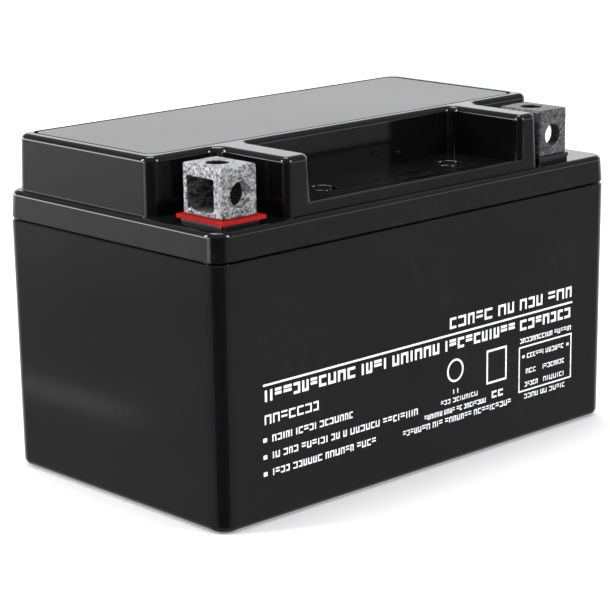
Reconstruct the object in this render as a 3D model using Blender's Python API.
# Sealed lead-acid motorcycle battery, 12 V, six cells in a row.
# Metres, +Z up. Origin at the bottom centre of the case, X along the length,
# -Y the printed front, the two terminals in the front corners of the top.
import bpy
import bmesh
import math
import numpy as np

# ---- driving dimensions (metres) ----
LENGTH = 0.150
DEPTH = 0.087
HEIGHT = 0.093
SEAM_Z = 0.070
LEDGE_Z = 0.0777
GAP = 0.0003
CASE_RADIUS = 0.005
CASE_WALL = 0.003
CASE_FLOOR = 0.003
CASE_DRAFT = 0.0003
SEAM_CHAMFER = 0.0005

CELLS = 6
PARTITION = 0.0018
CELL_LENGTH = 0.0225
CELL_PITCH = CELL_LENGTH + PARTITION
STRAP_Y = 0.028
WELD_Z = 0.064
WELD_HOLE = 0.0070

BLOCK_X = 0.0722
BLOCK_REAR = 0.0404
BLOCK_FRONT = -0.0153
FIN_FRONT = -0.0413
FIN_A = (-0.0494, -0.0404)
FIN_B = (0.0386, 0.0462)
TROUGH_Z = 0.0800
LIP_Z = 0.0806
TOP_FILLET = 0.0014

PLATE_X = 0.0684
PLATE_Y = (-0.0117, 0.0380)
PLATE_GAP = 0.0007
PLATE_THICK = 0.0011
PLATE_TOP = 0.09295

VALVE_Y = 0.0130
WELL_R = 0.0080
WELL_Z = 0.0845
NECK_R = 0.0045
NECK_TOP = 0.0895
BORE_R = 0.0021
CAP_R = 0.0062
CAP_BASE = 0.0851
CAP_TOP = 0.0911

TERM_SIZE = (0.0116, 0.0150)
TERM_Z = (0.08005, 0.0927)
TERM_Y = -0.0318
POS_X = -0.0632
NEG_X = 0.0549
POCKET_Z = (0.0809, 0.0896)
POCKET_HALF = 0.0050
POCKET_DEPTH = 0.0094
POS_BOLT_R = 0.0033
NEG_BOLT_R = 0.0030
STEM_R = 0.0037
STEM_FOOT = 0.0648
SEAL_Z = (0.07905, 0.07975)
SEAL_MARGIN = 0.0016
PLINTH_Z = 0.07875


for old in list(bpy.data.objects):
    bpy.data.objects.remove(old, do_unlink=True)


# ---- materials ----
def material(name, colour, rough, metal=0.0):
    mat = bpy.data.materials.new(name)
    mat.use_nodes = True
    node = mat.node_tree.nodes.get("Principled BSDF")
    node.inputs["Base Color"].default_value = (*colour, 1.0)
    node.inputs["Roughness"].default_value = rough
    node.inputs["Metallic"].default_value = metal
    return mat


CASE = material("case_plastic", (0.018, 0.018, 0.020), 0.38)
COVER = material("cover_plastic", (0.016, 0.016, 0.018), 0.30)
LABEL_PLATE = material("plate_plastic", (0.030, 0.030, 0.032), 0.55)
RUBBER = material("valve_rubber", (0.035, 0.035, 0.035), 0.80)
LEAD = material("terminal_lead", (0.42, 0.42, 0.43), 0.50, 0.9)
RED = material("red_epoxy", (0.45, 0.02, 0.02), 0.45)
BLACK = material("black_epoxy", (0.02, 0.02, 0.02), 0.45)
O_RING = material("o_ring_rubber", (0.025, 0.025, 0.025), 0.65)
POS_PASTE = material("positive_plate_lead", (0.10, 0.055, 0.045), 0.85, 0.1)
NEG_PASTE = material("negative_plate_lead", (0.24, 0.25, 0.26), 0.70, 0.5)
GLASS_MAT = material("glass_mat_white", (0.80, 0.80, 0.78), 0.95)
WELD = material("weld_lead", (0.36, 0.36, 0.38), 0.45, 0.9)


# ---- mesh helpers ----
def finish(name, bm, mat, smooth=False):
    bmesh.ops.remove_doubles(bm, verts=bm.verts, dist=0.000002)
    bmesh.ops.recalc_face_normals(bm, faces=bm.faces)
    mesh = bpy.data.meshes.new(name)
    bm.to_mesh(mesh)
    bm.free()
    obj = bpy.data.objects.new(name, mesh)
    bpy.context.scene.collection.objects.link(obj)
    if mat is not None:
        mesh.materials.append(mat)
    if smooth:
        for poly in mesh.polygons:
            poly.use_smooth = True
    return obj


def outline(corners, inset=0.0, steps=4):
    """Plan outline, counter-clockwise, square corners rounded, moved inwards by inset."""
    points = []
    count = len(corners)
    for i in range(count):
        here = np.array(corners[i][:2])
        before = here - np.array(corners[i - 1][:2])
        after = np.array(corners[(i + 1) % count][:2]) - here
        before = before / np.linalg.norm(before)
        after = after / np.linalg.norm(after)
        turn = before[0] * after[1] - before[1] * after[0]
        side = 1.0 if turn > 0 else -1.0
        radius = max(corners[i][2] - side * inset, 0.0002)
        inward = np.array([-before[1], before[0]]) + np.array([-after[1], after[0]])
        here = here + inward * inset
        centre = here - radius * before + radius * after
        start = math.atan2(-after[1] * radius, -after[0] * radius)
        for k in range(steps + 1):
            angle = start + side * math.radians(90.0) * k / steps
            x = centre[0] + radius * math.cos(angle)
            y = centre[1] + radius * math.sin(angle)
            points.append((x, y))
    return points


def rectangle(x0, x1, y0, y1, radius):
    return [(x0, y1, radius), (x0, y0, radius), (x1, y0, radius), (x1, y1, radius)]


def loft(name, corners, levels, mat, steps=4):
    """Walls through the same plan outline at each (height, inset), closed top and bottom."""
    bm = bmesh.new()
    rings = []
    for height, inset in levels:
        plan = corners(height) if callable(corners) else corners
        ring = [bm.verts.new((x, y, height)) for x, y in outline(plan, inset, steps)]
        rings.append(ring)
    count = len(rings[0])
    for low, high in zip(rings, rings[1:]):
        for i in range(count):
            j = (i + 1) % count
            bm.faces.new((low[i], low[j], high[j], high[i]))
    bm.faces.new(list(reversed(rings[0])))
    bm.faces.new(rings[-1])
    return finish(name, bm, mat)


def fillet(top, radius, draft, steps=3):
    """Levels of a rounded top edge."""
    out = []
    for k in range(steps + 1):
        angle = math.radians(90.0) * k / steps
        height = top - radius * (1.0 - math.sin(angle))
        out.append((height, draft + radius * (1.0 - math.cos(angle))))
    return out


def boxes(name, spans, mat):
    """Union of axis-aligned boxes as one closed body. Each span is x0, x1, y0, y1, z0, z1."""
    spans = np.array(spans)
    cuts = [sorted(set(np.round(spans[:, 2 * a:2 * a + 2].ravel(), 7))) for a in range(3)]
    size = [len(c) - 1 for c in cuts]
    full = np.zeros(size, bool)
    for s in np.round(spans, 7):
        low = [cuts[a].index(s[2 * a]) for a in range(3)]
        high = [cuts[a].index(s[2 * a + 1]) for a in range(3)]
        full[low[0]:high[0], low[1]:high[1], low[2]:high[2]] = True
    bm = bmesh.new()
    seen = {}

    def corner(i, j, k):
        if (i, j, k) not in seen:
            seen[(i, j, k)] = bm.verts.new((cuts[0][i], cuts[1][j], cuts[2][k]))
        return seen[(i, j, k)]

    for cell in np.argwhere(full):
        for axis in range(3):
            for side in (0, 1):
                other = cell.copy()
                other[axis] += 1 if side else -1
                inside = 0 <= other[axis] < size[axis]
                if inside and full[tuple(other)]:
                    continue
                u, v = [a for a in range(3) if a != axis]
                face = []
                for du, dv in ((0, 0), (1, 0), (1, 1), (0, 1)):
                    at = cell.copy()
                    at[axis] += side
                    at[u] += du
                    at[v] += dv
                    face.append(corner(*at))
                bm.faces.new(face)
    bmesh.ops.recalc_face_normals(bm, faces=bm.faces)
    bmesh.ops.dissolve_limit(bm, angle_limit=0.01, verts=bm.verts, edges=bm.edges)
    return finish(name, bm, mat)


def cylinders(name, centres, radius, low, high, mat=None, segments=28):
    """Upright round bars, all in one object."""
    bm = bmesh.new()
    for cx, cy in centres:
        rings = []
        for height in (low, high):
            ring = []
            for k in range(segments):
                angle = 2.0 * math.pi * k / segments
                x = cx + radius * math.cos(angle)
                y = cy + radius * math.sin(angle)
                ring.append(bm.verts.new((x, y, height)))
            rings.append(ring)
        for k in range(segments):
            j = (k + 1) % segments
            bm.faces.new((rings[0][k], rings[0][j], rings[1][j], rings[1][k]))
        bm.faces.new(list(reversed(rings[0])))
        bm.faces.new(rings[1])
    return finish(name, bm, mat)


def lathe(name, profile, centre, mat, segments=20):
    """Closed profile of (radius, height) turned about an upright axis."""
    bm = bmesh.new()
    rings = []
    for radius, height in profile:
        if radius < 1e-6:
            rings.append([bm.verts.new((0.0, 0.0, height))])
            continue
        ring = []
        for k in range(segments):
            angle = 2.0 * math.pi * k / segments
            ring.append(bm.verts.new((radius * math.cos(angle), radius * math.sin(angle), height)))
        rings.append(ring)
    for i in range(len(rings)):
        here = rings[i]
        there = rings[(i + 1) % len(rings)]
        if len(here) == 1 and len(there) == 1:
            continue
        for k in range(segments):
            j = (k + 1) % segments
            loop = [here[k % len(here)], here[j % len(here)], there[j % len(there)], there[k % len(there)]]
            bm.faces.new(list(dict.fromkeys(loop)))
    obj = finish(name, bm, mat, smooth=True)
    obj.location = centre
    return obj


def combine(body, tools, operation):
    """Cut or add each tool in turn, exactly, then remove it."""
    for tool in tools:
        mod = body.modifiers.new(operation, "BOOLEAN")
        mod.operation = operation
        mod.solver = "EXACT"
        mod.object = tool
        graph = bpy.context.evaluated_depsgraph_get()
        done = bpy.data.meshes.new_from_object(body.evaluated_get(graph))
        body.modifiers.clear()
        body.data = done
        bpy.data.objects.remove(tool, do_unlink=True)
    return body


def tidy_mesh(obj):
    """Merge flat neighbours left by the cuts."""
    bm = bmesh.new()
    bm.from_mesh(obj.data)
    bmesh.ops.remove_doubles(bm, verts=bm.verts, dist=0.00001)
    bmesh.ops.dissolve_degenerate(bm, dist=0.00001, edges=bm.edges)
    bmesh.ops.dissolve_limit(bm, angle_limit=0.002, verts=bm.verts, edges=bm.edges)
    bmesh.ops.triangulate(bm, faces=bm.faces)
    bmesh.ops.recalc_face_normals(bm, faces=bm.faces)
    bm.to_mesh(obj.data)
    bm.free()


def cell_x(index):
    return (index - (CELLS - 1) / 2.0) * CELL_PITCH


def partition_x(index):
    return (index - (CELLS - 2) / 2.0) * CELL_PITCH


# ---- container: one moulded jar with five partition walls ----
half_x = LENGTH / 2.0
half_y = DEPTH / 2.0
case_plan = rectangle(-half_x, half_x, -half_y, half_y, CASE_RADIUS)
case_top = SEAM_Z - GAP
case_levels = [
    (0.0, CASE_DRAFT + 0.0016),
    (0.0005, CASE_DRAFT + 0.0006),
    (0.0016, CASE_DRAFT),
    (case_top - SEAM_CHAMFER, 0.0),
    (case_top, SEAM_CHAMFER),
]
container = loft("container", case_plan, case_levels, CASE, steps=5)
wells = []
inner_y = half_y - CASE_WALL - 0.0002
for i in range(CELLS):
    x = cell_x(i)
    wells.append((x - CELL_LENGTH / 2, x + CELL_LENGTH / 2, -inner_y, inner_y, CASE_FLOOR, 0.075))
weld_tools = []
for i in range(CELLS - 1):
    bar = cylinders("weld_hole", [(0.0, 0.0)], WELD_HOLE / 2, -0.002, 0.002, segments=20)
    side = 1.0 if i % 2 == 0 else -1.0
    for vert in bar.data.vertices:
        x, y, z = vert.co
        vert.co = (partition_x(i) + z, side * STRAP_Y + y, WELD_Z - x)
    weld_tools.append(bar)
combine(container, [boxes("cell_wells", wells, None)] + weld_tools, "DIFFERENCE")
tidy_mesh(container)


# ---- cover: band, raised block, two fins and the terminal plinths, hollow below ----
def raised_plan(height):
    lean = (HEIGHT - height) / (HEIGHT - LEDGE_Z)
    side = 0.0004 * lean
    return [
        (-BLOCK_X - side, BLOCK_REAR + side, 0.0035),
        (-BLOCK_X - side, BLOCK_FRONT - side, 0.0035),
        (FIN_A[0], BLOCK_FRONT - side, 0.0035),
        (FIN_A[0], FIN_FRONT, 0.0022),
        (FIN_A[1] + 2.5 * side, FIN_FRONT, 0.0030),
        (FIN_A[1] + 2.5 * side, BLOCK_FRONT + 0.0004, 0.0020),
        (FIN_B[0], BLOCK_FRONT + 0.0004, 0.0025),
        (FIN_B[0], FIN_FRONT, 0.0020),
        (FIN_B[1] + 2.5 * side, FIN_FRONT, 0.0030),
        (FIN_B[1] + 2.5 * side, BLOCK_FRONT - side, 0.0035),
        (BLOCK_X + side, BLOCK_FRONT - side, 0.0035),
        (BLOCK_X + side, BLOCK_REAR + side, 0.0035),
    ]


band_levels = [(SEAM_Z, SEAM_CHAMFER), (SEAM_Z + SEAM_CHAMFER, 0.0)]
band_levels += fillet(LEDGE_Z, 0.0014, 0.0004)
cover = loft("cover", case_plan, band_levels, COVER, steps=5)
raised = loft("raised", raised_plan, [(0.074, 0.0)] + fillet(HEIGHT, TOP_FILLET, 0.0), COVER)
slab = boxes("slab", [(-0.046, 0.044, -0.0410, -0.010, 0.0755, TROUGH_Z)], COVER)
lip_plan = rectangle(-0.0455, 0.0435, -0.04125, -0.0398, 0.0003)
lip = loft("lip", lip_plan, [(0.0760, 0.0), (LIP_Z - 0.0004, 0.0), (LIP_Z, 0.0003)], COVER, steps=1)
plinths = []
for x0, x1, y0 in ((-0.0700, -0.0572, -0.0402), (0.0484, 0.0612, -0.0397)):
    plan = rectangle(x0, x1, y0, -0.0244, 0.0008)
    levels = [(0.0760, 0.0), (PLINTH_Z - 0.0003, 0.0), (PLINTH_Z, 0.0003)]
    plinths.append(loft("plinth", plan, levels, COVER, steps=2))
combine(cover, [raised, slab, lip] + plinths, "UNION")

recess_plan = rectangle(-PLATE_X - PLATE_GAP, PLATE_X + PLATE_GAP,
                        PLATE_Y[0] - PLATE_GAP, PLATE_Y[1] + PLATE_GAP, 0.0037)
recess_z = PLATE_TOP - PLATE_THICK - GAP
recess = loft("recess", recess_plan, [(recess_z, 0.0), (0.096, 0.0)], None)
vents = [(cell_x(i), VALVE_Y) for i in range(CELLS)]
well_tool = cylinders("wells", vents, WELL_R, WELL_Z, 0.0955, segments=32)
fin_a_mid = (FIN_A[0] + FIN_A[1]) / 2 + 0.0002
fin_b_mid = (FIN_B[0] + FIN_B[1]) / 2 + 0.0002
hollow = boxes("hollow", [
    (-0.0716, 0.0716, -0.0401, 0.0401, 0.069, 0.0746),
    (-0.0694, 0.0694, -0.0124, 0.0376, 0.074, 0.0886),
    (-0.0420, 0.0400, -0.0388, -0.0120, 0.074, 0.0775),
    (fin_a_mid - 0.0018, fin_a_mid + 0.0018, -0.0388, -0.0100, 0.074, 0.0900),
    (fin_b_mid - 0.0016, fin_b_mid + 0.0016, -0.0388, -0.0100, 0.074, 0.0900),
], None)
tubes = cylinders("tubes", vents, WELL_R + 0.0022, WELL_Z - 0.0025, 0.0955, segments=32)
combine(hollow, [tubes], "DIFFERENCE")
necks = cylinders("necks", vents, NECK_R, WELL_Z - 0.0010, NECK_TOP, segments=24)
bores = cylinders("bores", vents, BORE_R, 0.0760, 0.0955, segments=16)
stems = [(POS_X, TERM_Y), (NEG_X, TERM_Y)]
stem_holes = cylinders("stem_holes", stems, STEM_R + GAP, 0.070, 0.082, segments=28)
ring_pockets = cylinders("ring_pockets", stems, 0.0057, 0.07695, 0.082, segments=28)
combine(cover, [recess, well_tool, hollow], "DIFFERENCE")
combine(cover, [necks], "UNION")
combine(cover, [bores, stem_holes, ring_pockets], "DIFFERENCE")
for x in (-0.0242, 0.0242):
    outer = [(0.0042, TROUGH_Z - 0.0004), (0.0042, 0.083), (0.0033, 0.083), (0.0033, TROUGH_Z - 0.0004)]
    mark = lathe("mark", outer, (x, -0.0275, 0.0), None, segments=24)
    combine(cover, [mark], "DIFFERENCE")
tidy_mesh(cover)


# ---- flat top plate over the six valves ----
plate_plan = rectangle(-PLATE_X, PLATE_X, PLATE_Y[0], PLATE_Y[1], 0.0030)
plate_levels = [(PLATE_TOP - PLATE_THICK, 0.0), (PLATE_TOP - 0.0002, 0.0), (PLATE_TOP, 0.0002)]
top_plate = loft("top_plate", plate_plan, plate_levels, LABEL_PLATE, steps=3)

# ---- rubber valve caps, one on each vent neck ----
cap_profile = [
    (0.0, NECK_TOP + GAP - CAP_BASE),
    (NECK_R + GAP, NECK_TOP + GAP - CAP_BASE),
    (NECK_R + GAP, 0.0),
    (CAP_R, 0.0),
    (CAP_R, CAP_TOP - CAP_BASE - 0.0006),
    (CAP_R - 0.0006, CAP_TOP - CAP_BASE),
    (0.0, CAP_TOP - CAP_BASE),
]
for i in range(CELLS):
    lathe(f"valve_cap_{i + 1}", cap_profile, (cell_x(i), VALVE_Y, CAP_BASE), RUBBER)


# ---- terminals: cast lead blocks with a square nut pocket, a bolt hole each way and a stem ----
def terminal(name, x, outward, bolt_r):
    wide, deep = TERM_SIZE
    plan = rectangle(x - wide / 2, x + wide / 2, TERM_Y - deep / 2, TERM_Y + deep / 2, 0.0007)
    levels = [(TERM_Z[0], 0.0), (TERM_Z[1] - 0.0006, 0.0), (TERM_Z[1], 0.0006)]
    body = loft(name, plan, levels, LEAD, steps=2)
    stem = cylinders("stem", [(x, TERM_Y)], STEM_R, STEM_FOOT, TERM_Z[0] + 0.0004, LEAD, segments=24)
    combine(body, [stem], "UNION")
    outer = x + outward * (wide / 2 + 0.002)
    inner = x + outward * (wide / 2 - POCKET_DEPTH)
    mid = TERM_Y + 0.0007
    pocket = boxes("pocket", [(min(outer, inner), max(outer, inner), mid - POCKET_HALF,
                               mid + POCKET_HALF, *POCKET_Z)], None)
    down = cylinders("bolt_down", [(x, mid)], 0.0031, 0.0880, 0.0950, segments=24)
    front = cylinders("bolt_front", [(0.0, 0.0)], bolt_r, -0.003, 0.003, segments=28)
    for vert in front.data.vertices:
        px, py, pz = vert.co
        vert.co = (x - outward * 0.0002 + px, TERM_Y - deep / 2 + pz, 0.0855 - py)
    combine(body, [pocket, down, front], "DIFFERENCE")
    tidy_mesh(body)
    return body


terminal("positive_terminal", POS_X, -1.0, POS_BOLT_R)
terminal("negative_terminal", NEG_X, 1.0, NEG_BOLT_R)


# ---- seal rings at the terminal bases and the o-rings round the stems ----
for name, x, mat in (("positive_seal", POS_X, RED), ("negative_seal", NEG_X, BLACK)):
    margin = SEAL_MARGIN if x < 0 else 0.0005
    wx = TERM_SIZE[0] / 2 + margin
    front = TERM_Y - TERM_SIZE[1] / 2 - margin
    rear = TERM_Y + TERM_SIZE[1] / 2 + SEAL_MARGIN - 0.0006
    plan = rectangle(x - wx, x + wx, front, rear, 0.0003)
    ring = loft(name, plan, [(SEAL_Z[0], 0.0), (SEAL_Z[1], 0.0)], mat, steps=1)
    hole = cylinders("hole", [(x, TERM_Y)], STEM_R + GAP, 0.078, 0.081, segments=24)
    combine(ring, [hole], "DIFFERENCE")
    tidy_mesh(ring)

for name, x in (("positive_o_ring", POS_X), ("negative_o_ring", NEG_X)):
    profile = []
    for k in range(8):
        angle = 2.0 * math.pi * k / 8
        profile.append((STEM_R + GAP + 0.0007 + 0.0007 * math.cos(angle), 0.0007 * math.sin(angle)))
    lathe(name, profile, (x, TERM_Y, 0.0780), O_RING, segments=20)


# ---- cell elements: plate groups on their cast straps, glass mats between, welds through ----
def plate_group(name, x, offsets, thick, side, toward, mat):
    """Plates standing in one cell, joined by a strap; an upright arm faces the next cell."""
    y0 = side * STRAP_Y
    spans = []
    for dx in offsets:
        left = x + dx - thick / 2
        right = x + dx + thick / 2
        spans.append((left, right, -0.037, 0.037, 0.0034, 0.0570))
        spans.append((left, right, y0 - 0.005, y0 + 0.005, 0.0570, 0.0600))
    spans.append((x - 0.0098, x + 0.0098, y0 - 0.0075, y0 + 0.0075, 0.0595, 0.0645 - 0.0015))
    if toward:
        near = x + toward * 0.0078
        far = x + toward * 0.0106
        spans.append((min(near, far), max(near, far), y0 - 0.0045, y0 + 0.0045, 0.0595, 0.0680))
    else:
        spans.append((x - 0.0098, x + 0.0098, y0 - 0.0075, y0 + 0.0075, 0.0595, STEM_FOOT - GAP))
    return boxes(name, spans, mat)


def serpentine(name, x):
    """One folded glass mat running between all seven plates of a cell."""
    spans = []
    half = 0.0004
    for k in range(6):
        at = x - 0.0075 + 0.003 * k
        spans.append((at - half, at + half, -0.0386, 0.0386, 0.0033, 0.0582))
        if k < 5:
            end = 0.0386 if k % 2 == 0 else -0.0378
            spans.append((at - half, at + 0.003 + half, end - 0.0008, end, 0.0033, 0.0582))
    return boxes(name, spans, GLASS_MAT)


for i in range(CELLS):
    x = cell_x(i)
    front = -1.0 if i % 2 == 0 else 1.0
    left = 0 if i == 0 else -1
    right = 0 if i == CELLS - 1 else 1
    plate_group(f"positive_plates_{i + 1}", x, (-0.006, 0.0, 0.006), 0.0015, front, left, POS_PASTE)
    plate_group(f"negative_plates_{i + 1}", x, (-0.009, -0.003, 0.003, 0.009), 0.0013, -front,
                right, NEG_PASTE)
    serpentine(f"separator_{i + 1}", x)

weld_half = CELL_PITCH / 2 - 0.0106 - GAP
for i in range(CELLS - 1):
    side = 1.0 if i % 2 == 0 else -1.0
    rings = [(0.0, -weld_half), (WELD_HOLE / 2 - GAP, -weld_half),
             (WELD_HOLE / 2 - GAP, weld_half), (0.0, weld_half)]
    weld = lathe(f"intercell_weld_{i + 1}", rings, (0.0, 0.0, 0.0), WELD, segments=16)
    for vert in weld.data.vertices:
        px, py, pz = vert.co
        vert.co = (pz, py, -px)
    for poly in weld.data.polygons:
        poly.use_smooth = False
    weld.location = (partition_x(i), side * STRAP_Y, WELD_Z)

for obj in bpy.data.objects:
    obj.name = obj.name.strip()
    obj.data.name = obj.name
